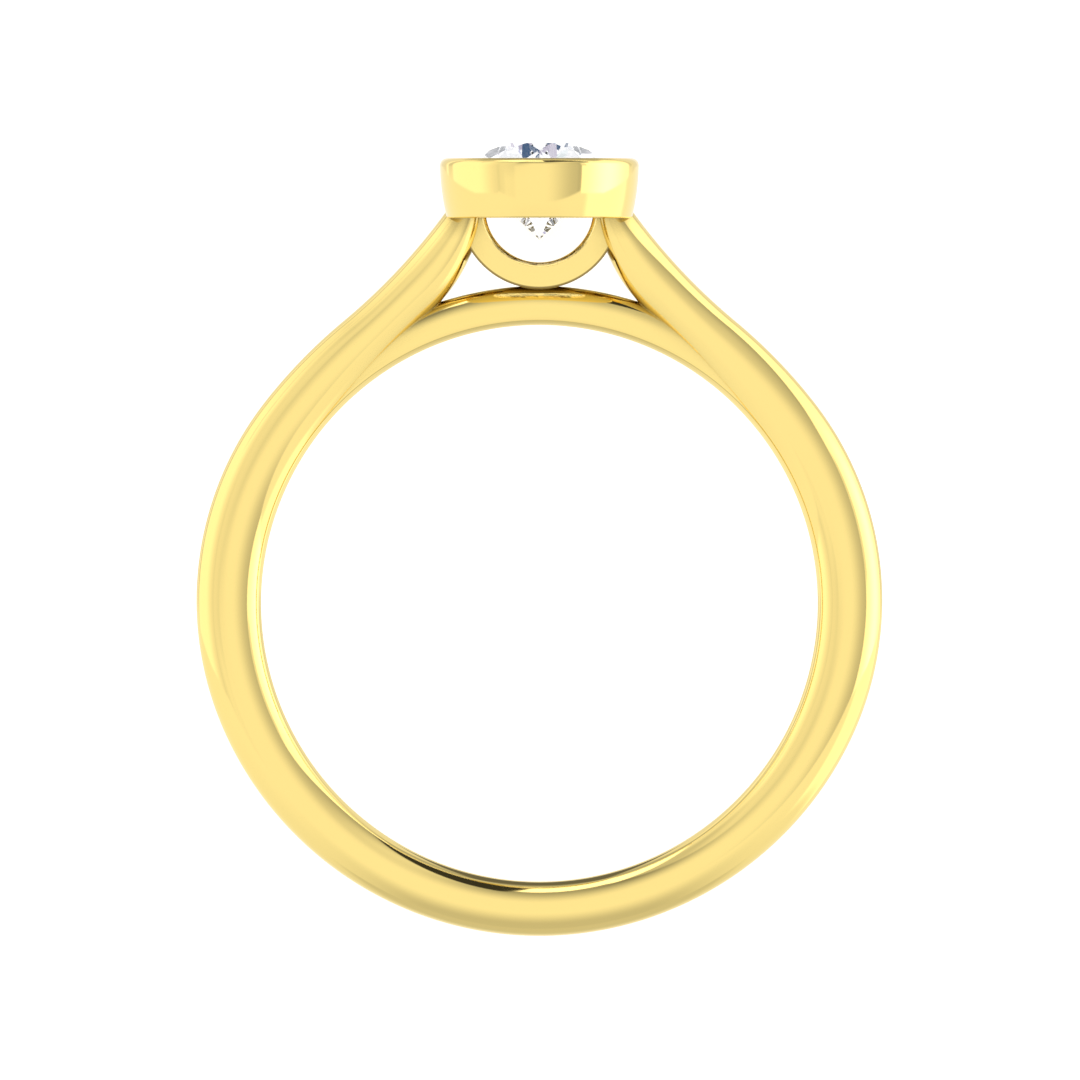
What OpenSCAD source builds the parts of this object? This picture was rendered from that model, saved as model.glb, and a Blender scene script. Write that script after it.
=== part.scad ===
// Pear diamond ring: a bezel-set pear-cut stone on a yellow gold band with raised shoulders.
// The ring is drawn upright, x across, y along the finger and z towards the stone,
// and as_it_lies() then lays it on its side, the rounded end of the stone upwards.

/* [Band] */
// Inside diameter of the finger hole
finger_d = 17.0; // [16.8:0.1:17.2]
// Width of the band along the finger
band_w = 1.6; // [1.4:0.1:2.2]
// Outside radius of the band where it is thinnest, opposite the stone
band_bottom_r = 10.17; // [9.9:0.01:10.6]
// Depth by which the inside edge of the band is eased away from the finger
edge_bury = 0.06; // [0.03:0.01:0.1]
// Length of the straight land inside the finger hole
land_l = 0.3; // [0.2:0.05:0.6]
// Length of the eased edge on each side of the land
ease_l = 0.35; // [0.3:0.01:0.4]

/* [Rail under the stone] */
// Width of the rail that closes the finger hole under the stone
rail_w = 1.04; // [0.8:0.02:1.3]
// Outside radius of the rail
rail_r = 9.7; // [9.5:0.01:9.8]
// Half of the angle that the rail spans
rail_half_angle = 50; // [46:1:54]

/* [Cradle] */
// Height of the cradle's centre above the finger's axis
cradle_z = 12.07; // [12:0.01:12.2]
// Inside radius of the cradle
cradle_in_r = 1.645; // [1.55:0.005:1.75]
// Outside radius of the cradle
cradle_out_r = 2.46; // [2.42:0.01:2.5]
// Width of the cradle along the finger
cradle_w = 0.9; // [0.6:0.05:1.2]
// Depth by which the cradle's inside edges are eased
cradle_ease = 0.14; // [0.05:0.01:0.2]

/* [Stone] */
// Width of the stone across its rounded end
stone_w = 4.4; // [4.2:0.05:4.6]
// Length of the stone from its rounded end to its point
stone_l = 6.6; // [6.2:0.1:7]
// Height of the top of the girdle above the finger's axis
girdle_z = 13.33; // [13.2:0.01:13.4]
// Thickness of the girdle
girdle_t = 0.12; // [0.1:0.01:0.16]
// Height of the crown above the girdle
crown_h = 0.74; // [0.6:0.02:0.8]
// Depth of the pavilion below the girdle
pavilion_h = 2.1; // [1.9:0.05:2.2]
// Size of the table against the outline of the stone
table_part = 0.45; // [0.4:0.01:0.5]
// Where a star facet's tip lies between girdle and table
star_part = 0.7; // [0.6:0.01:0.76]
// Where a lower girdle facet's tip lies between girdle and culet
lower_part = 0.78; // [0.7:0.01:0.82]
// Gap between the stone and the metal round it
stone_gap = 0.03; // [0.02:0.005:0.05]

/* [Bezel] */
// Height of the bezel's underside above the finger's axis
bezel_z = 11.78; // [11.7:0.01:11.85]
// Height of the bezel's rim above the finger's axis
rim_z = 13.61; // [13.55:0.01:13.65]
// Thickness of the bezel outside the stone at its widest height
bezel_out = 0.845; // [0.7:0.005:0.95]
// Thickness of the bezel outside the stone at its underside
bezel_foot = 0.65; // [0.6:0.01:0.8]
// Reach of the bezel's wall under the stone
bezel_in = 0.45; // [0.35:0.01:0.5]
// Reach of the rim over the stone
rim_lip = 0.15; // [0.1:0.01:0.2]
// Radius of the rim's outer corner
rim_round = 0.23; // [0.15:0.01:0.3]

/* [Hidden] */
$fn = 96;

// The band's outer edge from the bottom up one side, as arcs of radius and sweep.
// A negative radius bends the other way.
outer_arcs = [[10.55, 64.8], [9.86, 63.2], [16, 12.3], [-18.4, 15.4]];
outer_lower_l = arc_l(outer_arcs[0]) + arc_l(outer_arcs[1]);
outer_upper_l = arc_l(outer_arcs[2]) + arc_l(outer_arcs[3]);

// The band's inner edge: round the finger, then up the shoulder beside the window.
finger_r = finger_d / 2;
leave_angle = 127.5;
inner_arcs = [[finger_r, leave_angle], [30.6, 9.6], [-4.84, 38]];
inner_lower_l = arc_l(inner_arcs[0]);
inner_upper_l = arc_l(inner_arcs[1]) + arc_l(inner_arcs[2]);

// How far the outer edge's stations run ahead of the inner edge's in the shoulder
shoulder_lead = 0.3;
// Sections of the band on each side below and above the place where the rail leaves it
lower_steps = 34;
upper_steps = 16;
// Points of a section round its face and across its eased inner edge
face_points = 21;
ease_points = 4;
// Radius and strength of the eased inner edge, round the finger and in the shoulder
section_ease_r = 0.83;
lower_ease = 0.3;
shoulder_ease = 0.55;
// Slope of the finger hole's eased edges at the land and at their outer end
ease_from = 0.2;
ease_to = 0.63;
opened_r = finger_r + (ease_from + ease_to) / 2 * ease_l;
// Reach of the rail's oval inside the finger hole, which the hole then cuts off
rail_bury = 0.3;

// The stone's outline is a half circle and two arcs that meet in a point.
head_r = stone_w / 2;
point_y = stone_l - head_r;
wing_r = (head_r * head_r + point_y * point_y) / (2 * head_r);
wing_c = wing_r - head_r;
wing_angle = asin(point_y / wing_r);
// The bezel is centred on the band, so the stone's rounded end stands forward of it.
stone_y = -(point_y - head_r) / 2;

// Where facets touch the girdle, as steps along one side of the outline.
// A step up to 1 is the rounded end, and from 1 to 2 is the wing to the point.
// On the crown the first step lies between two mains and the second is a main, and so on.
// On the pavilion the first step is a main.
crown_steps = [0, 0.25, 0.5, 0.75, 1, 1.38, 1.6, 1.8, 2];
pavilion_steps = [0, 0.25, 0.5, 0.75, 1, 1.27, 1.53, 1.8, 2];
both_steps = [0, 0.25, 0.5, 0.75, 1, 1.27, 1.38, 1.53, 1.6, 1.8, 2];
// Parts into which the girdle's outline is divided between two of these steps
girdle_parts = 4;
// The crown's mains lead to this point above the table, the pavilion's to the culet.
crown_apex = [0, 0.5, crown_h / (1 - table_part)];
culet = [0, 0, -pavilion_h];
crown_part = star_part * (1 - table_part);

// The bezel's wall reaches this far inwards before the seat is cut into it.
wall_in = bezel_in + 0.15;
// Height of the seat's slope under the stone, and of the lip's edge above the girdle
seat_h = 0.72;
lip_h = 0.15;
// Distance of the rim's inner edge from the stone's outline
rim_in = 0.08;
// Length by which the hollow runs past the bezel's underside and rim
clear = 1;
// How far the bezel's outside bulges, and the radius of its lower edge
bulge = 0.042;
foot_round = 0.07;

// The ring lies on the bezel's point and the band's lower side. The barrelled point
// touches the ground where its outside leans as the ring does.
band_centre_r = (finger_r - edge_bury + band_bottom_r) / 2;
side_h = rim_z - rim_round - bezel_z - foot_round;
rough_lean = (point_y + bezel_out + stone_y - band_w / 2) / (girdle_z + band_centre_r);
touch_part = (bezel_out - bezel_foot + 4 * bulge - side_h * rough_lean) / (8 * bulge);
touch = [point_y + stone_y + bezel_side(touch_part)[0],
         bezel_side(touch_part)[1] + band_centre_r];
lying_tilt = atan(touch[0] / touch[1]) - asin(band_w / 2 / norm(touch));
lying_z = band_centre_r * sin(lying_tilt) + band_w / 2;
// The table's far corner stands higher than its middle when the ring lies on its side,
// which shifts the middle of the ring's length by this much.
table_shift = 0.059;
lying_y = -((girdle_z + crown_h) - band_bottom_r) / 2 * cos(lying_tilt) - table_shift;

// Reach and height of the bezel's outside at a part of its height, 0 at the foot, 1 at the top
function bezel_side(part) =
    [bezel_foot + (bezel_out - bezel_foot) * part + 4 * bulge * part * (1 - part),
     bezel_z + foot_round + side_h * part];

// Length of an arc given as radius and sweep
function arc_l(arc) = abs(arc[0]) * arc[1] * PI / 180;

// Point reached from a place and heading after a turn on a radius
function arc_point(at, heading, r, turn) =
    let (h = heading + sign(r) * turn)
    at + r * [sin(h) - sin(heading), cos(heading) - cos(h)];

// Point and heading at a distance along a chain of arcs
function along(arcs, d, at, heading = 0, i = 0) =
    let (r = arcs[i][0], l = arc_l(arcs[i]))
    d <= l || i == len(arcs) - 1
        ? let (turn = d / abs(r) * 180 / PI)
          [arc_point(at, heading, r, turn), heading + sign(r) * turn]
        : along(arcs, d - l, arc_point(at, heading, r, arcs[i][1]),
                heading + sign(r) * arcs[i][1], i + 1);

// Outer edge of the band at a station, 0 at the bottom, 1 at the rail, 2 at the bezel
function outer_edge(s) =
    let (u = s - 1, lead = u + shoulder_lead * u * (1 - u),
         d = s < 1 ? s * outer_lower_l : outer_lower_l + lead * outer_upper_l)
    along(outer_arcs, d, [0, -band_bottom_r])[0];

// Inner end of the band's section at a station
function inner_edge(s) =
    let (d = s < 1 ? s * inner_lower_l : inner_lower_l + (s - 1) * inner_upper_l,
         p = along(inner_arcs, d, [0, -finger_r]))
    p[0] + edge_bury * [-sin(p[1]), cos(p[1])];

// One section of the band: an oval from the inner to the outer edge, eased inside
function band_section(s, side) =
    let (o = outer_edge(s), i = inner_edge(s), mid = (o + i) / 2, long = norm(o - i) / 2,
         out = (o - i) / (2 * long), half = band_w / 2,
         ease = s < 1 ? lower_ease : min(shoulder_ease, lower_ease + (s - 1)),
         k = ease * half * half / (2 * section_ease_r), bury = ease * edge_bury,
         turn = acos((sqrt(pow(long - 2 * k, 2) + 4 * k * bury) - long) / (2 * k)),
         face = [for (j = [0:face_points - 1])
             let (a = turn * (2 * j / (face_points - 1) - 1))
             [long * cos(a), half * sin(a)]],
         eased = [for (j = [1:ease_points])
             let (y = half * sin(turn) * (1 - 2 * j / (ease_points + 1)))
             [bury - long + ease * y * y / (2 * section_ease_r), y]])
    [for (p = concat(face, eased)) [side * (mid[0] + out[0] * p[0]), p[1], mid[1] + out[1] * p[0]]];

// A closed solid through sections with the same number of points
module loft(sections) {
    n = len(sections[0]);
    last = len(sections) - 1;
    sides = [for (k = [0:last - 1]) for (j = [0:n - 1])
        let (a = k * n + j, b = k * n + (j + 1) % n)
        each [[a, b + n, b], [a, a + n, b + n]]];
    start = [[for (j = [0:n - 1]) j]];
    end = [[for (j = [n - 1:-1:0]) last * n + j]];
    polyhedron([for (s = sections) each s], concat(sides, start, end), convexity = 6);
}

// Band and both shoulders in one sweep, from bezel to bezel
module band() {
    stations = concat([for (k = [0:lower_steps - 1]) k / lower_steps],
                      [for (k = [0:upper_steps]) 1 + k / upper_steps]);
    last = len(stations) - 1;
    loft(concat([for (k = [last:-1:1]) band_section(stations[k], -1)],
                [for (k = [0:last]) band_section(stations[k], 1)]));
}

// Oval as a polygon, between two reaches from the axis
module oval(from, to, w) {
    steps = 40;
    polygon([for (k = [0:steps - 1])
        [(from + to) / 2 + (to - from) / 2 * cos(360 * k / steps), w / 2 * sin(360 * k / steps)]]);
}

// Turns a section about the finger's axis, from the top to both sides
module about_finger(half_angle) {
    rotate([-90, 0, 0])
        rotate([0, 0, -90 - half_angle])
            rotate_extrude(angle = 2 * half_angle)
                children();
}

module rail() {
    about_finger(rail_half_angle)
        oval(finger_r - rail_bury, rail_r, rail_w);
}

// The finger hole: a straight land, then an edge on each side that opens up more and more
// and goes on as a cone until it is clear of the band
module finger_hole() {
    steps = 8;
    land = land_l / 2;
    slope_change = (ease_to - ease_from) / (2 * ease_l);
    opening = concat(
        [for (k = [0:steps]) let (d = ease_l * k / steps)
            [finger_r + ease_from * d + slope_change * d * d, land + d]],
        [[opened_r + ease_to * band_w, land + ease_l + band_w]]);
    last = len(opening) - 1;
    rotate([90, 0, 0])
        rotate_extrude()
            polygon(concat(
                [[0, -opening[last][1]]],
                [for (k = [last:-1:0]) [opening[k][0], -opening[k][1]]],
                opening,
                [[0, opening[last][1]]]));
}

// Half ring under the bezel, its inside edges eased
module cradle() {
    steps = 8;
    half = cradle_w / 2;
    translate([0, 0, cradle_z])
        rotate([-90, 0, 0])
            rotate_extrude(angle = 180)
                polygon(concat(
                    [for (k = [0:steps]) let (y = half * (2 * k / steps - 1))
                        [cradle_in_r + cradle_ease * pow(y / half, 2), y]],
                    [[cradle_out_r, half], [cradle_out_r, -half]]));
}

// Sweeps a wall section round the stone's outline, x being the reach outwards from it
module around_stone() {
    rotate([0, 0, 180])
        rotate_extrude(angle = 180)
            translate([head_r, 0])
                children();
    for (side = [0, 1])
        mirror([side, 0, 0])
            translate([-wing_c, 0, 0])
                rotate_extrude(angle = wing_angle)
                    translate([wing_r, 0])
                        children();
    translate([0, point_y, 0])
        rotate([0, 0, wing_angle])
            rotate_extrude(angle = 180 - 2 * wing_angle)
                intersection() {
                    children();
                    translate([0, bezel_z])
                        square(rim_z - bezel_z);
                }
}

// The bezel's wall with a slightly barrelled face outside
module wall_section() {
    steps = 6;
    corner = [for (k = [1:steps]) let (a = 90 * k / steps)
        [bezel_out - rim_round + rim_round * cos(a), rim_z - rim_round + rim_round * sin(a)]];
    polygon(concat(
        [[-wall_in, bezel_z], [bezel_foot - foot_round, bezel_z]],
        [for (k = [0:steps]) bezel_side(k / steps)],
        corner, [[-wall_in, rim_z]]));
}

// Half section of the hollow for the stone where the outline has the radius r:
// open below, with a groove round the girdle and a lip that slopes up to the rim
module seat_section(r) {
    bottom_z = girdle_z - girdle_t;
    polygon([[0, bezel_z - clear], [r - bezel_in, bezel_z - clear], [r - bezel_in, bottom_z - seat_h],
             [r + stone_gap, bottom_z - stone_gap], [r + stone_gap, girdle_z + stone_gap],
             [r - rim_lip, girdle_z + lip_h], [r + rim_in, rim_z],
             [r + rim_in, rim_z + clear], [0, rim_z + clear]]);
}

module seat() {
    rotate([0, 0, 180])
        rotate_extrude(angle = 180)
            seat_section(head_r);
    intersection() {
        translate([-wing_c, 0, 0])
            rotate_extrude(angle = 90)
                seat_section(wing_r);
        mirror([1, 0, 0])
            translate([-wing_c, 0, 0])
                rotate_extrude(angle = 90)
                    seat_section(wing_r);
    }
}

module bezel() {
    translate([0, stone_y, 0])
        difference() {
            around_stone()
                wall_section();
            seat();
        }
}

// One side's steps carried on round the whole outline, the other side's being negative
function all_round(steps) = concat([for (k = [len(steps) - 1:-1:1]) -steps[k]], steps);

// Point and outward direction on the stone's outline at a step
function girdle_point(t) =
    abs(t) <= 1
        ? head_r * [sin(90 * t), -cos(90 * t)]
        : let (a = wing_angle * (abs(t) - 1))
          [sign(t) * (wing_r * cos(a) - wing_c), wing_r * sin(a)];
function girdle_out(t) =
    abs(t) <= 1
        ? [sin(90 * t), -cos(90 * t)]
        : abs(t) == 2 ? [0, 1] : let (a = wing_angle * (abs(t) - 1)) [sign(t) * cos(a), sin(a)];

// Where two lines meet, each given by a point and its normal
function meet(p, n, q, m) =
    let (d = n[0] * m[1] - n[1] * m[0], a = p * n, b = q * m)
    [(a * m[1] - b * n[1]) / d, (n[0] * b - m[0] * a) / d];

// Twice the area of the triangle from a and b to p, which grows with p's distance from them
function across(a, b, p) = (b[0] - a[0]) * (p[1] - a[1]) - (b[1] - a[1]) * (p[0] - a[0]);

// Tip of the two girdle facets at a step between two mains: the mains' ridge
// has come this part of its way from the girdle to the point where the mains lead
function facet_tip(ring, i, apex, part) =
    let (n = len(ring) - 1, before = ring[(i + n - 1) % n], after = ring[(i + 1) % n],
         corner = meet(girdle_point(before), girdle_out(before),
                       girdle_point(after), girdle_out(after)))
    [corner[0], corner[1], 0] * (1 - part) + apex * part;

// Index of the step between two mains at one end of a girdle facet, the facet running
// from step i to the next. phase is 0 where the first step lies between mains, else 1.
function tip_step(i, phase) = i + (i + phase) % 2;

// Height of the girdle facet's edge over the outline at a step
function edge_height(t, ring, phase, apex, part) =
    let (i = [for (k = [0:len(ring) - 2]) if (t >= ring[k] && t <= ring[k + 1]) k][0],
         a = girdle_point(ring[i]), b = girdle_point(ring[i + 1]),
         tip = facet_tip(ring, tip_step(i, phase), apex, part))
    tip[2] * across(a, b, girdle_point(t)) / across(a, b, tip);

// The stone with the top of its girdle at height 0: a table, mains to every second
// step, a star facet between two mains at the table and two girdle facets at the girdle
module stone() {
    crown_ring = all_round(crown_steps);
    pavilion_ring = all_round(pavilion_steps);
    girdle_ring = all_round(concat(
        [for (k = [0:len(both_steps) - 2]) for (j = [0:girdle_parts - 1])
            both_steps[k] + (both_steps[k + 1] - both_steps[k]) * j / girdle_parts],
        [2]));
    n = len(girdle_ring) - 1;
    facets = len(crown_ring) - 1;
    mains = facets / 2;
    down = [0, 0, girdle_t];

    points = concat(
        [for (k = [0:n - 1]) let (t = girdle_ring[k], p = girdle_point(t))
            [p[0], p[1], edge_height(t, crown_ring, 0, crown_apex, crown_part)]],
        [for (k = [0:n - 1]) let (t = girdle_ring[k], p = girdle_point(t))
            [p[0], p[1], edge_height(t, pavilion_ring, 1, culet, lower_part)] - down],
        [for (k = [0:mains - 1]) facet_tip(crown_ring, 2 * k, crown_apex, crown_part)],
        [for (k = [0:mains - 1]) let (p = girdle_point(crown_ring[2 * k + 1]))
            [p[0], p[1], 0] * table_part + crown_apex * (1 - table_part)],
        [for (k = [0:mains - 1]) facet_tip(pavilion_ring, 2 * k + 1, culet, lower_part) - down],
        [culet - down]);
    crown_tip = 2 * n;
    corner = crown_tip + mains;
    pavilion_tip = corner + mains;
    last = pavilion_tip + mains;

    table = [[for (k = [mains - 1:-1:0]) corner + k]];
    stars = [for (k = [0:mains - 1]) [corner + (k + mains - 1) % mains, corner + k, crown_tip + k]];
    crown_mains = [for (k = [0:mains - 1])
        [girdle_index(girdle_ring, crown_ring[2 * k + 1]), crown_tip + k, corner + k,
         crown_tip + (k + 1) % mains]];
    upper = [for (i = [0:facets - 1])
        concat([crown_tip + tip_step(i, 0) / 2 % mains],
               girdle_run(girdle_ring, crown_ring[i], crown_ring[i + 1], -1))];
    girdle = [for (k = [0:n - 1]) let (next = (k + 1) % n) [k, next, n + next, n + k]];
    lower = [for (i = [0:facets - 1])
        concat([pavilion_tip + (tip_step(i, 1) - 1) / 2],
               [for (k = girdle_run(girdle_ring, pavilion_ring[i], pavilion_ring[i + 1], 1)) n + k])];
    pavilion_mains = [for (k = [0:mains - 1])
        [n + girdle_index(girdle_ring, pavilion_ring[2 * k]), pavilion_tip + k, last,
         pavilion_tip + (k + mains - 1) % mains]];
    polyhedron(points, concat(table, stars, crown_mains, upper, girdle, lower, pavilion_mains),
               convexity = 2);
}

// Index of a step in the girdle's outline
function girdle_index(ring, t) = [for (k = [0:len(ring) - 2]) if (ring[k] == t) k][0];

// Indices of the outline's points from one step to another, in this order or backwards
function girdle_run(ring, from, to, order) =
    let (n = len(ring) - 1, run = [for (k = [0:n]) if (ring[k] >= from && ring[k] <= to) k % n],
         last = len(run) - 1)
    [for (k = [0:last]) run[order > 0 ? k : last - k]];

module pear_diamond() {
    color("aliceblue")
        as_it_lies()
            translate([0, stone_y, girdle_z])
                stone();
}

module gold_mount() {
    color("gold")
        as_it_lies()
            difference() {
                union() {
                    band();
                    rail();
                    cradle();
                    bezel();
                }
                finger_hole();
            }
}

// Lays the upright ring on its side, as it comes to rest by itself
module as_it_lies() {
    translate([0, lying_y, lying_z])
        rotate([lying_tilt - 90, 0, 0])
            children();
}

gold_mount();
pear_diamond();
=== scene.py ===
import math

import bmesh
import bpy
import numpy as np
from mathutils import Matrix, Vector


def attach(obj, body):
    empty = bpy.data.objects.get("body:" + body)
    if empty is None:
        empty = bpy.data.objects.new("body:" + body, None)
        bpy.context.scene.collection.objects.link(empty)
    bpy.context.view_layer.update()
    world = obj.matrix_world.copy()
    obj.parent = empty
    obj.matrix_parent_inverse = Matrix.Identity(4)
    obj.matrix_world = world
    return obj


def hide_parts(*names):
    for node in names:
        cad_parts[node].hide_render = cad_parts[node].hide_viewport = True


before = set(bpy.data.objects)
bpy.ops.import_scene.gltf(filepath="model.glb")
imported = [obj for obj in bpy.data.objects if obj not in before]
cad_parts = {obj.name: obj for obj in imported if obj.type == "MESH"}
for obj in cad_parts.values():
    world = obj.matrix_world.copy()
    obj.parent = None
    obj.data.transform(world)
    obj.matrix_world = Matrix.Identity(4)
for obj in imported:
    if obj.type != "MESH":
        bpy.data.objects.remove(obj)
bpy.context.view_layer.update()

# Sizes in millimetres, of the ring upright: x across, y along the finger, z towards the stone
MM = 0.001

# Band: its outlines are chains of arcs, each a radius and a sweep in degrees, from the bottom up
FINGER_R = 8.5
BAND_W = 1.6
BAND_BOTTOM_R = 10.17
OUTER_ARCS = [(10.55, 64.8), (9.86, 63.2), (16, 12.3), (-18.4, 15.4)]
INNER_ARCS = [(FINGER_R, 127.5), (30.6, 9.6), (-4.84, 38)]
SHOULDER_LEAD = 0.3
SECTION_EASE_R = 0.83
LOWER_EASE = 0.3
SHOULDER_EASE = 0.55
EDGE_BURY = 0.06

# Finger hole: a straight land in the middle, then an edge that opens from one slope to another
LAND = 0.15
EASE_L = 0.35
EASE_FROM = 0.2
EASE_TO = 0.63
CREASE_R = FINGER_R + EASE_L * (EASE_FROM + EASE_TO) / 2

# Rail under the stone and the cradle that stands on it
RAIL_W = 1.04
RAIL_R = 9.7
RAIL_HALF_ANGLE = 50
RAIL_BURY = 0.3
CRADLE_Z = 12.07
CRADLE_IN_R = 1.645
CRADLE_OUT_R = 2.46
CRADLE_W = 0.9
CRADLE_EASE = 0.14
CRADLE_SOFT = 0.05

# Stone's outline: a round head and two wings that meet in a point
HEAD_R = 2.2
POINT_Y = 4.4
WING_R = (HEAD_R ** 2 + POINT_Y ** 2) / (2 * HEAD_R)
WING_C = WING_R - HEAD_R
WING_ANGLE = math.asin(POINT_Y / WING_R)
STONE_Y = -(POINT_Y - HEAD_R) / 2
GIRDLE_Z = 13.33
GIRDLE_T = 0.12
CROWN_H = 0.74
STONE_GAP = 0.03

# Bezel: reaches are measured outwards from the stone's outline
BEZEL_Z = 11.78
RIM_Z = 13.61
BEZEL_OUT = 0.845
BEZEL_FOOT = 0.65
BEZEL_IN = 0.45
BULGE = 0.042
FOOT_ROUND = 0.07
RIM_ROUND = 0.23
RIM_IN = 0.08
RIM_LIP = 0.15
LIP_H = 0.15
SEAT_H = 0.72
SIDE_H = RIM_Z - RIM_ROUND - BEZEL_Z - FOOT_ROUND

# Fineness of the mesh
LOWER_STEPS = 110
SHOULDER_STEPS = 60
FACE_POINTS = 72
INSIDE_POINTS = 10
RAIL_STEPS = 200
RAIL_POINTS = 72
HOLE_STEPS = 720
EASE_STEPS = 16
CRADLE_STEPS = 180
CRADLE_FACE_STEPS = 24
CRADLE_SOFT_STEPS = 6
FOOT_STEPS = 8
SIDE_STEPS = 32
RIM_STEPS = 12
OUTLINE_STEPS = 60
POINT_STEPS = 16
# Points closer than this are welded and edges shorter than that dissolved, in metres
WELD = 1e-8
SLIVER = 1e-9
# Edges that turn by more than this stay sharp, in degrees
SHARP_ANGLE = 16


def bezel_side(part):
    """Reach and height of the bezel's outside, 0 at the foot and 1 at the top."""
    return (BEZEL_FOOT + (BEZEL_OUT - BEZEL_FOOT) * part + 4 * BULGE * part * (1 - part),
            BEZEL_Z + FOOT_ROUND + SIDE_H * part)


# The ring rests on the bezel's barrelled point and on the band's lower side
BAND_CENTRE_R = (FINGER_R - EDGE_BURY + BAND_BOTTOM_R) / 2
ROUGH_LEAN = (POINT_Y + BEZEL_OUT + STONE_Y - BAND_W / 2) / (GIRDLE_Z + BAND_CENTRE_R)
TOUCH_PART = (BEZEL_OUT - BEZEL_FOOT + 4 * BULGE - SIDE_H * ROUGH_LEAN) / (8 * BULGE)
TOUCH = (POINT_Y + STONE_Y + bezel_side(TOUCH_PART)[0],
         bezel_side(TOUCH_PART)[1] + BAND_CENTRE_R)
TILT = math.atan(TOUCH[0] / TOUCH[1]) - math.asin(BAND_W / 2 / math.hypot(*TOUCH))
# How far the box's centre is from the middle between the band's bottom and the stone's table
TABLE_SHIFT = 0.059
LYING_Y = -(GIRDLE_Z + CROWN_H - BAND_BOTTOM_R) / 2 * math.cos(TILT) - TABLE_SHIFT
LYING_Z = BAND_CENTRE_R * math.sin(TILT) + BAND_W / 2
LYING_SHIFT = Vector((0, LYING_Y, LYING_Z))
TURN = Matrix.Rotation(TILT - math.pi / 2, 4, "X")
LYING = Matrix.Scale(MM, 4) @ Matrix.Translation(LYING_SHIFT) @ TURN
# The upright ring's directions in the lying one: across, along the finger, towards the stone
AXES = [TURN.to_3x3() @ Vector(axis) for axis in ((1, 0, 0), (0, 1, 0), (0, 0, 1))]


# Shapes

def arc_length(radius, sweep):
    return abs(radius) * math.radians(sweep)


def along(arcs, distance, at):
    """Point and heading at a distance along a chain of arcs."""
    heading = 0.0
    for number, (radius, sweep) in enumerate(arcs):
        length = arc_length(radius, sweep)
        last = number == len(arcs) - 1
        reach = distance if last else min(distance, length)
        turn = math.copysign(reach / abs(radius), radius)
        end = (at[0] + radius * (math.sin(heading + turn) - math.sin(heading)),
               at[1] + radius * (math.cos(heading) - math.cos(heading + turn)))
        if distance <= length or last:
            return end, heading + turn
        at, heading, distance = end, heading + turn, distance - length


LOWER_OUT = sum(arc_length(*arc) for arc in OUTER_ARCS[:2])
SHOULDER_OUT = sum(arc_length(*arc) for arc in OUTER_ARCS[2:])
LOWER_IN = arc_length(*INNER_ARCS[0])
SHOULDER_IN = sum(arc_length(*arc) for arc in INNER_ARCS[1:])


def outer_edge(station):
    """Place on the outer outline: station 0 at the bottom, 1 under the shoulder, 2 at the bezel."""
    up = station - 1
    lead = up + SHOULDER_LEAD * up * (1 - up)
    distance = station * LOWER_OUT if station < 1 else LOWER_OUT + lead * SHOULDER_OUT
    return np.array(along(OUTER_ARCS, distance, (0, -BAND_BOTTOM_R))[0])


def inner_edge(station):
    """The same on the inner outline, a little inside the finger hole that is cut later."""
    distance = station * LOWER_IN if station < 1 else LOWER_IN + (station - 1) * SHOULDER_IN
    place, heading = along(INNER_ARCS, distance, (0, -FINGER_R))
    return np.array(place) + EDGE_BURY * np.array((-math.sin(heading), math.cos(heading)))


def band_section(station, side):
    """One ring of points round the band, with a curved outer face and an eased inside."""
    outer, inner = outer_edge(station), inner_edge(station)
    middle = (outer + inner) / 2
    half_deep = np.linalg.norm(outer - inner) / 2
    outwards = (outer - inner) / (2 * half_deep)
    half_wide = BAND_W / 2
    ease = LOWER_EASE if station < 1 else min(SHOULDER_EASE, LOWER_EASE + (station - 1))
    sag = ease * half_wide * half_wide / (2 * SECTION_EASE_R)
    bury = ease * EDGE_BURY
    root = math.sqrt((half_deep - 2 * sag) ** 2 + 4 * sag * bury)
    turn = math.acos((root - half_deep) / (2 * sag))
    section = [(half_deep * math.cos(angle), half_wide * math.sin(angle))
               for angle in np.linspace(-turn, turn, FACE_POINTS)]
    for number in range(1, INSIDE_POINTS + 1):
        y = half_wide * math.sin(turn) * (1 - 2 * number / (INSIDE_POINTS + 1))
        section.append((bury - half_deep + ease * y * y / (2 * SECTION_EASE_R), y))
    return [(side * (middle[0] + outwards[0] * out), y, middle[1] + outwards[1] * out)
            for out, y in section]


def mesh_object(name, points, faces):
    """An object from points in millimetres of the upright ring."""
    mesh = bpy.data.meshes.new(name)
    mesh.from_pydata([LYING @ Vector(point) for point in points], [], faces)
    mesh.validate()
    obj = bpy.data.objects.new(name, mesh)
    bpy.context.scene.collection.objects.link(obj)
    return obj


def weld(obj):
    """Join the points that coincide and turn the faces outwards."""
    shell = bmesh.new()
    shell.from_mesh(obj.data)
    bmesh.ops.remove_doubles(shell, verts=shell.verts, dist=WELD)
    bmesh.ops.dissolve_degenerate(shell, edges=shell.edges, dist=SLIVER)
    bmesh.ops.recalc_face_normals(shell, faces=shell.faces)
    if shell.calc_volume(signed=True) < 0:
        bmesh.ops.reverse_faces(shell, faces=shell.faces)
    shell.to_mesh(obj.data)
    shell.free()


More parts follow.
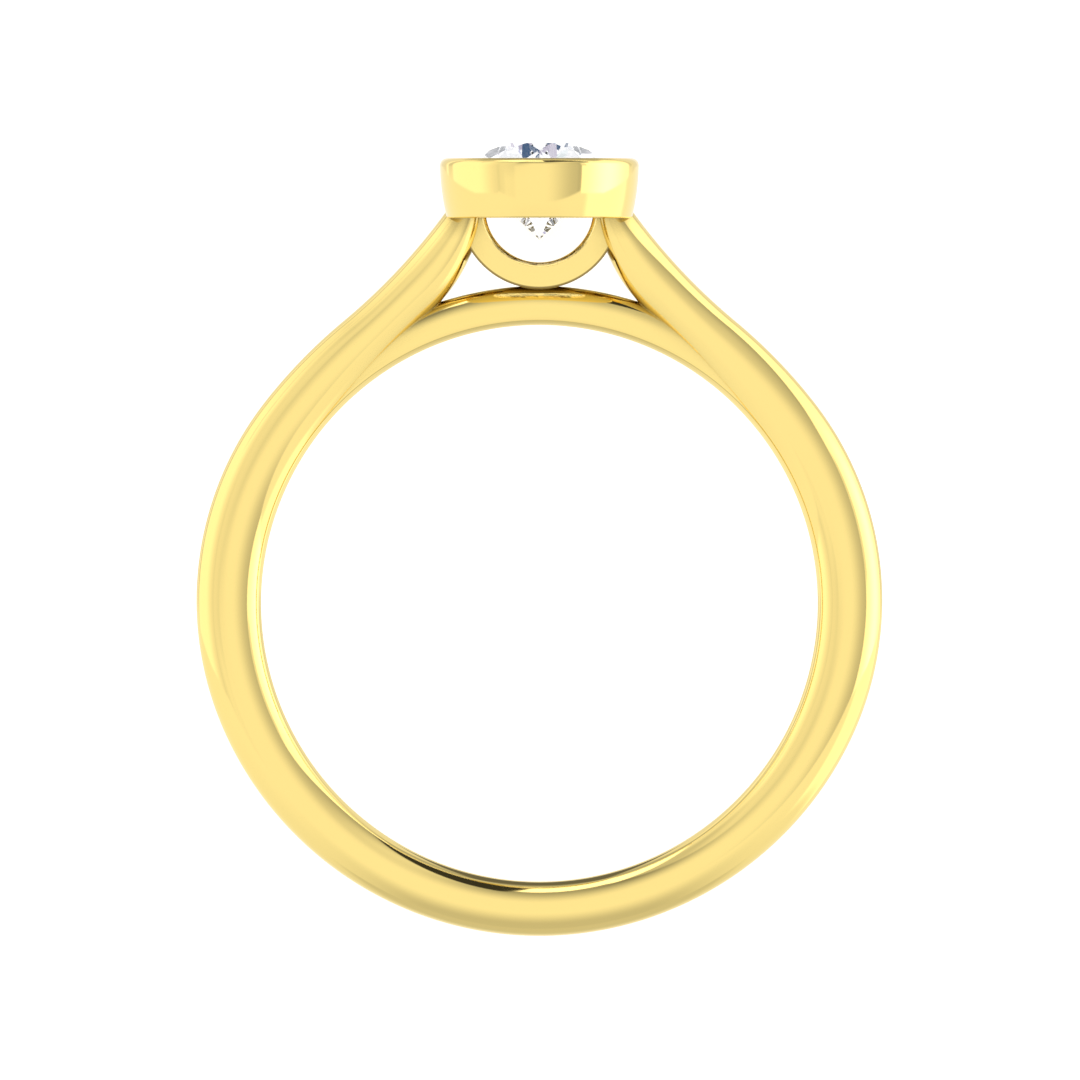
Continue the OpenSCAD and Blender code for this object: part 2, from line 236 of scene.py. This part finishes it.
def loft(name, rings, round_path=False, round_section=True):
    """A closed solid through rings with the same number of points.

    round_path joins the last ring to the first, round_section each ring's last point to its first.
    """
    size, count = len(rings[0]), len(rings)
    faces = []
    for ring in range(count if round_path else count - 1):
        here, there = ring * size, (ring + 1) % count * size
        for point in range(size if round_section else size - 1):
            after = (point + 1) % size
            faces.append((here + point, here + after, there + after, there + point))
    if not round_path:
        faces.append(tuple(reversed(range(size))))
        faces.append(tuple((count - 1) * size + point for point in range(size)))
    if not round_section:
        faces.append(tuple(ring * size for ring in range(count)))
        faces.append(tuple(ring * size + size - 1 for ring in reversed(range(count))))
    obj = mesh_object(name, [point for ring in rings for point in ring], faces)
    weld(obj)
    return obj


def band():
    stations = [step / LOWER_STEPS for step in range(LOWER_STEPS)]
    stations += [1 + step / SHOULDER_STEPS for step in range(SHOULDER_STEPS + 1)]
    rings = [band_section(station, -1) for station in reversed(stations[1:])]
    rings += [band_section(station, 1) for station in stations]
    return loft("band", rings)


def about_finger(name, section, angles, **ends):
    """A section of radius and place along the finger, carried round the finger's axis."""
    rings = [[(r * math.sin(angle), y, r * math.cos(angle)) for r, y in section] for angle in angles]
    return loft(name, rings, **ends)


def rail():
    low, high = FINGER_R - RAIL_BURY, RAIL_R
    section = [((low + high) / 2 + (high - low) / 2 * math.cos(angle), RAIL_W / 2 * math.sin(angle))
               for angle in np.linspace(0, 2 * math.pi, RAIL_POINTS + 1)[:-1]]
    angles = [math.radians(RAIL_HALF_ANGLE * (2 * step / RAIL_STEPS - 1))
              for step in range(RAIL_STEPS + 1)]
    return about_finger("rail", section, angles)


def finger_hole():
    """What is cut away for the finger."""
    def opening(depth):
        bend = (EASE_TO - EASE_FROM) / (2 * EASE_L)
        return FINGER_R + EASE_FROM * depth + bend * depth * depth

    mouth = [(opening(EASE_L * step / EASE_STEPS), LAND + EASE_L * step / EASE_STEPS)
             for step in range(EASE_STEPS + 1)]
    mouth.append((opening(EASE_L) + EASE_TO * BAND_W, LAND + EASE_L + BAND_W))
    section = [(r, -y) for r, y in reversed(mouth)] + mouth
    angles = [2 * math.pi * step / HOLE_STEPS for step in range(HOLE_STEPS)]
    return about_finger("finger_hole", section, angles, round_path=True, round_section=False)


def cradle():
    """Half a ring with a hollowed inner face and soft outer edges."""
    half = CRADLE_W / 2
    section = []
    for step in range(CRADLE_FACE_STEPS + 1):
        y = half * (2 * step / CRADLE_FACE_STEPS - 1)
        section.append((CRADLE_IN_R + CRADLE_EASE * (y / half) ** 2, y))
    soft_r, soft_y = CRADLE_OUT_R - CRADLE_SOFT, half - CRADLE_SOFT
    turns = [math.pi / 2 * step / CRADLE_SOFT_STEPS for step in range(CRADLE_SOFT_STEPS + 1)]
    section += [(soft_r + CRADLE_SOFT * math.sin(angle), soft_y + CRADLE_SOFT * math.cos(angle))
                for angle in turns]
    section += [(soft_r + CRADLE_SOFT * math.cos(angle), -soft_y - CRADLE_SOFT * math.sin(angle))
                for angle in turns]
    rings = []
    for step in range(CRADLE_STEPS + 1):
        angle = math.pi * step / CRADLE_STEPS
        rings.append([(r * math.cos(angle), y, CRADLE_Z - r * math.sin(angle)) for r, y in section])
    return loft("cradle", rings)


def bezel_profile():
    """The wall's outside and inside, each as reaches from the stone's outline and heights."""
    shoulder = RIM_Z - RIM_ROUND
    outside = [(BEZEL_FOOT - FOOT_ROUND + FOOT_ROUND * math.sin(angle),
                BEZEL_Z + FOOT_ROUND - FOOT_ROUND * math.cos(angle))
               for angle in np.linspace(0, math.pi / 2, FOOT_STEPS + 1)[:-1]]
    outside += [bezel_side(step / SIDE_STEPS) for step in range(SIDE_STEPS + 1)]
    outside += [(BEZEL_OUT - RIM_ROUND + RIM_ROUND * math.cos(angle),
                 shoulder + RIM_ROUND * math.sin(angle))
                for angle in np.linspace(0, math.pi / 2, RIM_STEPS + 1)[1:]]
    low = GIRDLE_Z - GIRDLE_T
    inside = [(RIM_IN, RIM_Z), (-RIM_LIP, GIRDLE_Z + LIP_H), (STONE_GAP, GIRDLE_Z + STONE_GAP),
              (STONE_GAP, low - STONE_GAP), (-BEZEL_IN, low - SEAT_H), (-BEZEL_IN, BEZEL_Z)]
    return outside, inside


def outline_at(reach, round_point):
    """One side of the stone's outline moved outwards, from the rounded end to the point."""
    head = HEAD_R + reach
    wing = WING_R + reach
    path = [(head * math.sin(angle), -head * math.cos(angle))
            for angle in np.linspace(0, math.pi / 2, OUTLINE_STEPS + 1)]
    end = WING_ANGLE if round_point else math.acos(WING_C / wing)
    path += [(wing * math.cos(angle) - WING_C, wing * math.sin(angle))
             for angle in np.linspace(0, end, OUTLINE_STEPS + 1)[1:]]
    turns = np.linspace(WING_ANGLE, math.pi / 2, POINT_STEPS + 1)[1:]
    if round_point:
        path += [(reach * math.cos(angle), POINT_Y + reach * math.sin(angle)) for angle in turns]
    else:
        path += [path[-1]] * len(turns)
    return path


def bezel():
    """The pear-shaped wall: its outside turns round the point, its inside ends in a corner."""
    outside, inside = bezel_profile()
    walls = [(outline_at(reach, True), z) for reach, z in outside]
    walls += [(outline_at(reach, False), z) for reach, z in inside]
    count = len(walls[0][0])
    rings = []
    for side, order in ((1, range(count)), (-1, range(count - 2, 0, -1))):
        for place in order:
            rings.append([(side * path[place][0], path[place][1] + STONE_Y, z) for path, z in walls])
    return loft("bezel", rings, round_path=True)


def combine(target, tool, operation):
    """Add the tool to the target or cut it away, and remove the tool."""
    modifier = target.modifiers.new(operation, "BOOLEAN")
    modifier.operation = operation
    modifier.solver = "MANIFOLD"
    modifier.object = tool
    mesh = bpy.data.meshes.new_from_object(
        target.evaluated_get(bpy.context.evaluated_depsgraph_get()))
    target.modifiers.clear()
    target.data = mesh
    bpy.data.objects.remove(tool)


def gold_ring():
    ring = band()
    combine(ring, rail(), "UNION")
    combine(ring, cradle(), "UNION")
    combine(ring, bezel(), "UNION")
    combine(ring, finger_hole(), "DIFFERENCE")
    ring.name = ring.data.name = "gold_ring"
    ring.data.materials.clear()
    ring.data.materials.append(gold_material())
    ring.data.polygons.foreach_set("material_index", [0] * len(ring.data.polygons))
    ring.data.shade_smooth()
    ring.data.set_sharp_from_angle(angle=math.radians(SHARP_ANGLE))
    return ring


# Materials

class Graph:
    """Writes arithmetic, masks and patterns as nodes; values are sockets or plain numbers."""

    def __init__(self, tree):
        self.tree = tree

    def place(self, kind="Object"):
        return self.tree.nodes.new("ShaderNodeTexCoord").outputs[kind]

    def put(self, value, socket):
        """Link a socket's value to the socket, or set a plain value on it."""
        if isinstance(value, bpy.types.NodeSocket):
            self.tree.links.new(value, socket)
        else:
            socket.default_value = value

    def operate(self, operation, a, b=0.0):
        node = self.tree.nodes.new("ShaderNodeMath")
        node.operation = operation
        self.put(a, node.inputs[0])
        self.put(b, node.inputs[1])
        return node.outputs[0]

    def times(self, a, b):
        return self.operate("MULTIPLY", a, b)

    def plus(self, a, b):
        return self.operate("ADD", a, b)

    def distance(self, a, b):
        return self.operate("SQRT", self.plus(self.times(a, a), self.times(b, b)))

    def dot(self, vector, axis):
        node = self.tree.nodes.new("ShaderNodeVectorMath")
        node.operation = "DOT_PRODUCT"
        self.put(vector, node.inputs[0])
        self.put(axis, node.inputs[1])
        return node.outputs["Value"]

    def step(self, value, start, end, low=0.0, high=1.0):
        """Smooth change from low at start to high at end."""
        node = self.tree.nodes.new("ShaderNodeMapRange")
        node.interpolation_type = "SMOOTHSTEP"
        for name, given in (("Value", value), ("From Min", start), ("From Max", end),
                            ("To Min", low), ("To Max", high)):
            self.put(given, node.inputs[name])
        return node.outputs["Result"]

    def between(self, value, low, high, soft):
        """1 between low and high and 0 outside, with soft edges."""
        return self.times(self.step(value, low - soft, low + soft),
                          self.step(value, high - soft, high + soft, 1, 0))

    def over(self, base, value, mask):
        """base where mask is 0 and value where it is 1."""
        node = self.tree.nodes.new("ShaderNodeMix")
        for name, given in (("Factor", mask), ("A", base), ("B", value)):
            self.put(given, node.inputs[name])
        return node.outputs["Result"]

    def paint(self, base, colour, mask):
        """The same for colours."""
        node = self.tree.nodes.new("ShaderNodeMix")
        node.data_type = "RGBA"
        self.put(mask, node.inputs["Factor"])
        for name, given in (("A", base), ("B", colour)):
            plain = not isinstance(given, bpy.types.NodeSocket)
            self.put((*given, 1) if plain else given, node.inputs[name])
        return node.outputs["Result"]

    def noise(self, place, scale, detail):
        node = self.tree.nodes.new("ShaderNodeTexNoise")
        self.put(place, node.inputs["Vector"])
        self.put(scale, node.inputs["Scale"])
        self.put(detail, node.inputs["Detail"])
        return node.outputs["Fac"]

    def background(self, colour, node=None):
        node = node or self.tree.nodes.new("ShaderNodeBackground")
        self.put(colour, node.inputs["Color"])
        return node.outputs["Background"]

    def choose(self, first, second, mask):
        """The first shader where mask is 0 and the second where it is 1."""
        node = self.tree.nodes.new("ShaderNodeMixShader")
        for socket, given in zip(node.inputs, (mask, first, second)):
            self.put(given, socket)
        return node.outputs["Shader"]


def material(name):
    """A new material with its graph and its shader."""
    made = bpy.data.materials.new(name)
    made.use_nodes = True
    tree = made.node_tree
    return made, Graph(tree), tree.nodes["Principled BSDF"]


# The gold's colours: plain, in its faint clouds, and where it is dim with painted shade in its gaps
# and on its painted shade lines
GOLD = (1.0, 0.785, 0.283)
GOLD_CLOUD = (1.0, 0.775, 0.272)
GOLD_PAINTED_SHADE = (0.34, 0.25, 0.085)
# Patterns of its colour, of its roughness and of its surface
CLOUD_SCALE, CLOUD_DETAIL = 260, 3
WIPE_SCALE, WIPE_DETAIL = 900, 4
SWIRL_SCALE, SWIRL_DETAIL = 420, 2
ROUGH_LOW, ROUGH_HIGH = 0.03, 0.075
# Heights and reaches in metres
BUMP_STRENGTH, BUMP_HEIGHT = 0.02, 0.00005
SOFT_EDGE_R, SOFT_EDGE_SAMPLES = 0.00004, 4
# Painted shade in narrow gaps and at joints: how far the ambient occlusion looks, its samples and
# its power
GAP_REACH, GAP_SAMPLES, GAP_POWER = 0.0007, 3, 1.6
# How much the lines of painted shade darken the gold
LINE_SHADE_DEPTH = 0.95

# Lines of painted shade in millimetres: how far each reaches to both sides of its edge, and how soft
# it is
CRADLE_LINE_SOFT = 0.01
CRADLE_OUT_LINE = (0.065, 0.02)
CRADLE_IN_LINE = (0.02, 0.11)
CRADLE_IN_DEPTH = 0.6
CRADLE_LINE_END = (0.04, 0.02)
CREASE_HALF, CREASE_SOFT, CREASE_DEPTH = 0.012, 0.006, 0.5


def painted_shade_lines(graph, place):
    """Mask of painted shade lines: 1 on both edges of the cradle, less on the crease round the
    finger hole, 0 elsewhere.
    """
    across, along_finger, height = (graph.dot(place, tuple(axis / MM)) for axis in AXES)
    aside = graph.operate("ABSOLUTE", graph.plus(along_finger, -AXES[1].dot(LYING_SHIFT)))
    height = graph.plus(height, -AXES[2].dot(LYING_SHIFT))
    hole_r = graph.distance(across, height)
    cradle_r = graph.distance(across, graph.plus(height, -CRADLE_Z))
    outer = graph.between(cradle_r, CRADLE_OUT_R - CRADLE_OUT_LINE[0],
                          CRADLE_OUT_R + CRADLE_OUT_LINE[1], CRADLE_LINE_SOFT)
    inner = graph.between(cradle_r, CRADLE_IN_R - CRADLE_IN_LINE[0],
                          CRADLE_IN_R + CRADLE_IN_LINE[1], CRADLE_LINE_SOFT)
    on_cradle = graph.step(aside, *(CRADLE_W / 2 + end for end in CRADLE_LINE_END))
    edges = graph.times(graph.plus(outer, graph.times(inner, CRADLE_IN_DEPTH)), on_cradle)
    crease = graph.between(hole_r, CREASE_R - CREASE_HALF, CREASE_R + CREASE_HALF, CREASE_SOFT)
    return graph.operate("MAXIMUM", edges, graph.times(crease, CREASE_DEPTH))


def gold_material():
    """Polished gold with painted shade: a little dimmer in its narrow gaps, at its joints and on its
    painted shade lines.
    """
    made, graph, shader = material("polished_gold")
    place = graph.place()
    tone = graph.paint(GOLD, GOLD_CLOUD, graph.noise(place, CLOUD_SCALE, CLOUD_DETAIL))
    # Painted shade: ambient occlusion darkens the gold where nearby metal closes in, in gaps and at
    # joints
    gap = graph.tree.nodes.new("ShaderNodeAmbientOcclusion")
    gap.samples = GAP_SAMPLES
    gap.only_local = True
    graph.put(GAP_REACH, gap.inputs["Distance"])
    openness = graph.operate("POWER", gap.outputs["AO"], GAP_POWER)
    # The gold turns to its painted shade colour where gaps close in and on the painted shade lines
    unshaded = graph.times(openness, graph.plus(graph.times(painted_shade_lines(graph, place), -LINE_SHADE_DEPTH), 1))
    graph.put(graph.paint(GOLD_PAINTED_SHADE, tone, unshaded), shader.inputs["Base Color"])

    rough = graph.tree.nodes.new("ShaderNodeMapRange")
    graph.put(graph.noise(place, WIPE_SCALE, WIPE_DETAIL), rough.inputs["Value"])
    graph.put(ROUGH_LOW, rough.inputs["To Min"])
    graph.put(ROUGH_HIGH, rough.inputs["To Max"])
    graph.put(rough.outputs["Result"], shader.inputs["Roughness"])

    soft_edges = graph.tree.nodes.new("ShaderNodeBevel")
    soft_edges.samples = SOFT_EDGE_SAMPLES
    graph.put(SOFT_EDGE_R, soft_edges.inputs["Radius"])
    bump = graph.tree.nodes.new("ShaderNodeBump")
    graph.put(BUMP_STRENGTH, bump.inputs["Strength"])
    graph.put(BUMP_HEIGHT, bump.inputs["Distance"])
    graph.put(graph.noise(place, SWIRL_SCALE, SWIRL_DETAIL), bump.inputs["Height"])
    graph.put(soft_edges.outputs["Normal"], bump.inputs["Normal"])
    graph.put(bump.outputs["Normal"], shader.inputs["Normal"])
    graph.put(1, shader.inputs["Metallic"])
    return made


# The stone's two tints, both nearly white
DIAMOND = (0.95, 0.975, 1.0)
DIAMOND_CLOUD = (1.0, 0.98, 1.0)
DIAMOND_CLOUD_SCALE, DIAMOND_CLOUD_DETAIL = 500, 2
DIAMOND_IOR = 2.417


def diamond_material():
    made, graph, shader = material("clear_diamond")
    cloud = graph.noise(graph.place(), DIAMOND_CLOUD_SCALE, DIAMOND_CLOUD_DETAIL)
    graph.put(graph.paint(DIAMOND, DIAMOND_CLOUD, cloud), shader.inputs["Base Color"])
    graph.put(1, shader.inputs["Transmission Weight"])
    graph.put(DIAMOND_IOR, shader.inputs["IOR"])
    graph.put(0, shader.inputs["Roughness"])
    return made


# The floor glows so that it comes out as white as the photograph's
FLOOR_GREY = (0.93, 0.93, 0.93, 1)
FLOOR_ROUGH = 0.9
FLOOR_GLOW = 0.6
WHITE = (1, 1, 1, 1)


def floor_material():
    made, graph, shader = material("pale_floor")
    graph.put(FLOOR_GREY, shader.inputs["Base Color"])
    graph.put(FLOOR_ROUGH, shader.inputs["Roughness"])
    graph.put(0, shader.inputs["Specular IOR Level"])
    graph.put(WHITE, shader.inputs["Emission Color"])
    graph.put(FLOOR_GLOW, shader.inputs["Emission Strength"])
    return made


# Studio

# Light of its parts, where 1 is as bright as white paper
FRONT_WALL = 1.02
LEFT_WALL = 0.86
SEAM_LOW = 0.85
SEAM_HIGH = 0.78
BOX = 1.36
BOX_GLOW = 0.95
BOX_GAP = 0.56
BOX_POST = 0.92
BACKDROP = 0.88
BACKDROP_MIDDLE = 1.02
BACKDROP_LEFT_EDGE = 0.74
BACKDROP_RIGHT_EDGE = 0.76
GROUND = 1.03
GROUND_PATCH = 1.36
OVERHEAD_BOX = 1.9
OVERHEAD_RIM = 0.4
DARK_CEILING = 0.04
TOP = 0.6
CEILING_BEHIND = 0.6
GROUND_BEHIND = 0.66
CEILING_GAP = 0.15

# How much the front wall's left corner and the ground under the ring are dimmer
CORNER_DIM = -0.2
GROUND_DIM = -0.42

# The right box's near edge leans outwards between two elevations, by this many degrees
BOX_LEAN = (22, 54, 0, -31)

# The ground's far edge: two straight lines as slope and height, then one slope close by
FAR_EDGES = ((0.085, 0.1955), (0.1975, 0.182))
NEAR_EDGE = 0.372
EDGE_SOFT = 0.008

# How much the dim parts are lifted towards blue
LIFTS = (("Red", 0.0), ("Green", 0.02), ("Blue", 0.08))

# What the stone gathers: white all round, with panels by azimuth and by elevation in degrees
FIRE = (1.4, 1.4, 1.4)
NAVY = (0.0, 0.07, 0.20)
BLUE = (0.20, 0.42, 0.62)
LILAC = (0.62, 0.56, 0.70)
VIOLET = (0.55, 0.57, 0.95)
AQUA = (0.50, 0.78, 0.76)
GREY = (0.0, 0.02, 0.06)
MIST = (0.5, 0.54, 0.64)
PANEL_SOFT = 1
PANELS = (
    (NAVY, (152, 174), (-8, 18)),
    (NAVY, (56, 74), (58, 71)),
    (NAVY, (-102, -78), (4, 29)),
    (NAVY, (-74, -56), (40, 52)),
    (NAVY, (70, 100), (71, 79)),
    (NAVY, (-144, -108), (27, 50)),
    (NAVY, (-124, -102), (-22, 22)),
    (BLUE, (160, 178), (-36, -14)),
    (LILAC, (76, 122), (4, 26)),
    (LILAC, (58, 73), (38, 52)),
    (LILAC, (-176, -150), (-8, 18)),
    (AQUA, (-108, -96), (52, 57)),
    (GREY, (24, 50), (30, 52)),
    (GREY, (-50, -24), (30, 52)),
    (LILAC, (30, 40), (52, 60)),
    (LILAC, (-40, -30), (52, 60)),
    (GREY, (4, 16), (56, 70)),
    (GREY, (-26, -14), (58, 70)),
    (MIST, (76, 94), (-34, -16)),
    (MIST, (-94, -76), (-34, -16)),
    (MIST, (136, 150), (38, 52)),
    (MIST, (-152, -144), (38, 52)),
    (GREY, (36, 72), (-68, -48)),
    (GREY, (-72, -36), (-68, -48)),
    (VIOLET, (98, 112), (38, 50)))


class Sky:
    """Directions about the photographer's view, and light laid over them.

    Azimuth is 0 behind the photographer, 90 on the right and 180 behind the ring, in degrees.
    """

    def __init__(self, graph, direction):
        self.graph = graph
        self.right = graph.dot(direction, (1, 0, 0))
        self.up = graph.dot(direction, (0, math.cos(TILT), math.sin(TILT)))
        self.near = graph.dot(direction, (0, -math.sin(TILT), math.cos(TILT)))
        self.azimuth = graph.times(graph.operate("ARCTAN2", self.right, self.near), 180 / math.pi)
        self.elevation = graph.times(graph.operate("ARCSINE", self.up), 180 / math.pi)
        self.aside = graph.operate("ABSOLUTE", self.azimuth)
        self.sideways = graph.operate("ABSOLUTE", self.right)
        self.leaning = graph.plus(self.azimuth, graph.step(self.elevation, *BOX_LEAN))

    def where(self, **limits):
        """Product of masks by direction: three limits are a band, and two or four are a step."""
        mask = None
        for name, limit in limits.items():
            shape = self.graph.between if len(limit) == 3 else self.graph.step
            part = shape(getattr(self, name), *limit)
            mask = part if mask is None else self.graph.times(mask, part)
        return mask

    def lay(self, base, value, **limits):
        """base with value laid over it where the limits allow."""
        return self.graph.over(base, value, self.where(**limits))


def front_wall(graph, sky):
    """Wall behind the photographer: dim to the right, in the left corner and high up."""
    wall = graph.plus(FRONT_WALL, sky.where(leaning=(5, 47, 0, -0.4)))
    corner = sky.where(azimuth=(-28, -6, 1, 0), elevation=(-10, 14))
    wall = graph.plus(wall, graph.times(corner, CORNER_DIM))
    return graph.plus(wall, sky.where(elevation=(15, 62, 0, -0.62), azimuth=(8, 36, 1, 0.3)))


def left_wall(graph, sky):
    """Wall on the left: brighter towards the left, with two thin seams."""
    wall = graph.plus(LEFT_WALL, sky.where(azimuth=(-28, -42, 0, 0.06)))
    wall = graph.plus(wall, sky.where(azimuth=(-50, -78, 0, 0.34)))
    wall = graph.plus(wall, sky.where(elevation=(34, 50, 0, -0.26)))
    wall = sky.lay(wall, SEAM_LOW, azimuth=(-50.5, -47.5, 1.2), elevation=(24, 8))
    return sky.lay(wall, SEAM_HIGH, azimuth=(-80, -77, 0.8), elevation=(26, 32))


def right_box(graph, sky, light):
    """Soft box on the right with a glowing middle, a dark gap before it and a dim post in it."""
    gap = graph.plus(BOX_GAP, sky.where(elevation=(20, 44, 0, -0.14)))
    light = sky.lay(light, gap, leaning=(46, 60, 1.5))
    glow = sky.where(azimuth=(70, 108, 19), elevation=(40, 16, 0.1, 1))
    light = sky.lay(light, graph.plus(BOX, graph.times(glow, BOX_GLOW)), leaning=(50, 51.4))
    return sky.lay(light, BOX_POST, azimuth=(51, 57, 0.5), elevation=(3, 23, 2))


def backdrop(sky, light):
    """Backdrop behind the ring, with dim edges far out on both sides."""
    light = sky.lay(light, BACKDROP_RIGHT_EDGE, azimuth=(128, 138, 2), elevation=(-6, 4, 0.4, 1))
    light = sky.lay(light, BACKDROP_LEFT_EDGE, azimuth=(-132, -121, 2), elevation=(-6, 4, 0.4, 1))
    light = sky.lay(light, BACKDROP, aside=(134, 140))
    return sky.lay(light, BACKDROP_MIDDLE, near=(-0.9, -0.95))


def ground(graph, sky, light):
    """Ground in front, dim under the ring, with a bright patch on the right."""
    dim = sky.where(elevation=(-15, -68), sideways=(0.3, 0.65, 1, 0.35))
    bright = graph.plus(GROUND, graph.times(dim, GROUND_DIM))
    bright = sky.lay(bright, GROUND_PATCH, azimuth=(60, 124, 5), elevation=(-40, -32))
    edges = [graph.plus(graph.times(sky.near, slope), height) for slope, height in FAR_EDGES]
    edge = graph.operate("MINIMUM", *edges)
    edge = sky.lay(edge, graph.times(sky.near, NEAR_EDGE), near=(0.6, 0.63))
    return graph.over(light, bright, graph.step(graph.plus(sky.up, edge), EDGE_SOFT, -EDGE_SOFT))


def ceiling(sky, light):
    """Overhead soft box on the left, dark ceiling on the right, dim ceiling and ground behind."""
    light = sky.lay(light, OVERHEAD_RIM, elevation=(55, 57), azimuth=(-28, 12, 2))
    light = sky.lay(light, OVERHEAD_BOX, elevation=(57, 60), azimuth=(-100, -26, 2))
    light = sky.lay(light, OVERHEAD_BOX, elevation=(61, 63), azimuth=(-30, 9, 2))
    light = sky.lay(light, DARK_CEILING, elevation=(53, 56), azimuth=(10, 78, 2))
    light = sky.lay(light, TOP, elevation=(79, 82))
    light = sky.lay(light, CEILING_BEHIND, elevation=(47, 53), near=(0.02, -0.06))
    light = sky.lay(light, GROUND_BEHIND, elevation=(-50, -60), near=(0.02, -0.06))
    # a dark gap right behind, which the stone's front facets mirror
    return sky.lay(light, CEILING_GAP, aside=(150, 156), elevation=(37, 62, 2))


def gold_surroundings(graph, sky):
    """Colour that the gold mirrors: the dim parts a little blue, and the dark ones neutral."""
    left = left_wall(graph, sky)
    light = sky.lay(front_wall(graph, sky), left, azimuth=(-27, -31), elevation=(-9, -1, 0.3, 1))
    light = sky.lay(light, left, azimuth=(-40, -44))
    light = right_box(graph, sky, light)
    light = backdrop(sky, light)
    light = ground(graph, sky, light)
    light = ceiling(sky, light)
    colour = graph.tree.nodes.new("ShaderNodeCombineColor")
    shown = graph.operate("MINIMUM", graph.times(light, 2), 1)
    for channel, lift in LIFTS:
        lifted = graph.plus(graph.times(light, 1 - lift), graph.times(shown, lift))
        graph.put(lifted, colour.inputs[channel])
    return colour.outputs["Color"]


def stone_surroundings(graph, sky):
    """Colour that the stone gathers."""
    fire = FIRE
    for tint, azimuths, elevations in PANELS:
        panel = sky.where(azimuth=(*azimuths, PANEL_SOFT), elevation=(*elevations, PANEL_SOFT))
        fire = graph.paint(fire, tint, panel)
    return fire


def studio():
    """Surroundings for the gold and for the stone, and white where the camera sees past them."""
    world = bpy.data.worlds.new("studio")
    bpy.context.scene.world = world
    world.use_nodes = True
    nodes = world.node_tree.nodes
    graph = Graph(world.node_tree)
    sky = Sky(graph, graph.place("Generated"))
    ray = nodes.new("ShaderNodeLightPath").outputs
    walls = graph.background(gold_surroundings(graph, sky), nodes["Background"])
    panels = graph.background(stone_surroundings(graph, sky))
    gathered = graph.choose(walls, panels, ray["Is Transmission Ray"])
    seen = graph.choose(gathered, graph.background(WHITE), ray["Is Camera Ray"])
    graph.put(seen, nodes["World Output"].inputs["Surface"])


# Floor and camera, in metres
FLOOR_HALF = 0.6
FRAME_W = 0.0330
CAMERA_BACK = 0.12
CLIP = (0.001, 2)
# Middle of the photograph, in millimetres of the upright ring
FRAME_CENTRE = (0.018, 0, 1.934)


def floor():
    """Floor that neither the gold mirrors nor the stone gathers, as the photograph's is far."""
    corners = [(x * FLOOR_HALF, y * FLOOR_HALF, 0) for x, y in ((-1, -1), (1, -1), (1, 1), (-1, 1))]
    mesh = bpy.data.meshes.new("floor")
    mesh.from_pydata(corners, [], [(0, 1, 2, 3)])
    mesh.materials.append(floor_material())
    obj = bpy.data.objects.new("floor", mesh)
    bpy.context.scene.collection.objects.link(obj)
    obj.visible_glossy = obj.visible_transmission = False


def camera():
    """Straight along the finger, as in the photograph, and square to the front of the ring."""
    data = bpy.data.cameras.new("camera")
    data.type = "ORTHO"
    data.ortho_scale = FRAME_W
    data.clip_start, data.clip_end = CLIP
    obj = bpy.data.objects.new("camera", data)
    bpy.context.scene.collection.objects.link(obj)
    back = Vector((0, -math.sin(TILT), math.cos(TILT)))
    obj.location = LYING @ Vector(FRAME_CENTRE) + CAMERA_BACK * back
    obj.rotation_euler = (TILT, 0, 0)
    bpy.context.scene.camera = obj


# The scene

# Enough reflections for light to find its way out of the stone
GLOSSY_BOUNCES = 10

ring = gold_ring()
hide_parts("gold_mount")
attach(ring, "root")
# The stone shows only the studio, as in the photograph, not the inside of its bezel
ring.visible_transmission = False

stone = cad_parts["pear_diamond"]
stone.data.materials.clear()
stone.data.materials.append(diamond_material())

studio()
floor()
camera()
scene = bpy.context.scene
scene.view_settings.view_transform = "Standard"
scene.view_settings.look = "None"
scene.cycles.glossy_bounces = GLOSSY_BOUNCES
